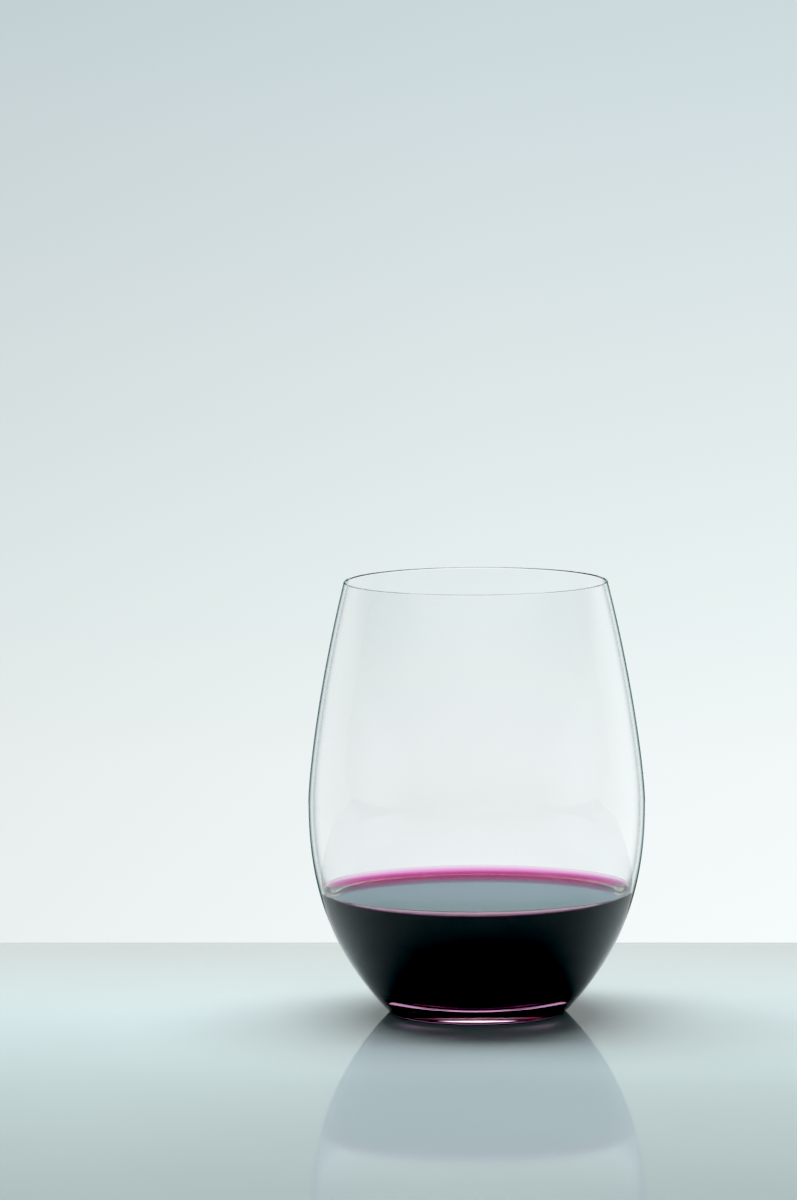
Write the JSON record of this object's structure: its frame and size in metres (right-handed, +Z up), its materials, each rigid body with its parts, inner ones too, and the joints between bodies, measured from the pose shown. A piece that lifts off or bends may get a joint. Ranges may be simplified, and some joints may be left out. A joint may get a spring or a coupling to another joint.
{
  "type": "stemless wine glass",
  "caption": "Clear stemless wine glass with a round belly, an inward-leaning thin rim and a thick base, holding a low pour of dark red wine.",
  "frame": {"origin": "centre of the foot, on the surface that the glass stands on", "axes": "+Z up along the axis of the glass, X and Y are any two level directions"},
  "size_m": [0.0926, 0.0926, 0.1195],
  "materials": {
    "clear_glass": "colourless, clear and polished all over, with a rounded rim",
    "red_wine": "still, clear dark red liquid: nearly black where it is deep and pink where it is thin"
  },
  "bodies": {
    "root": {"glass": "clear_glass", "red_wine": "red_wine"}
  },
  "joints": []
}
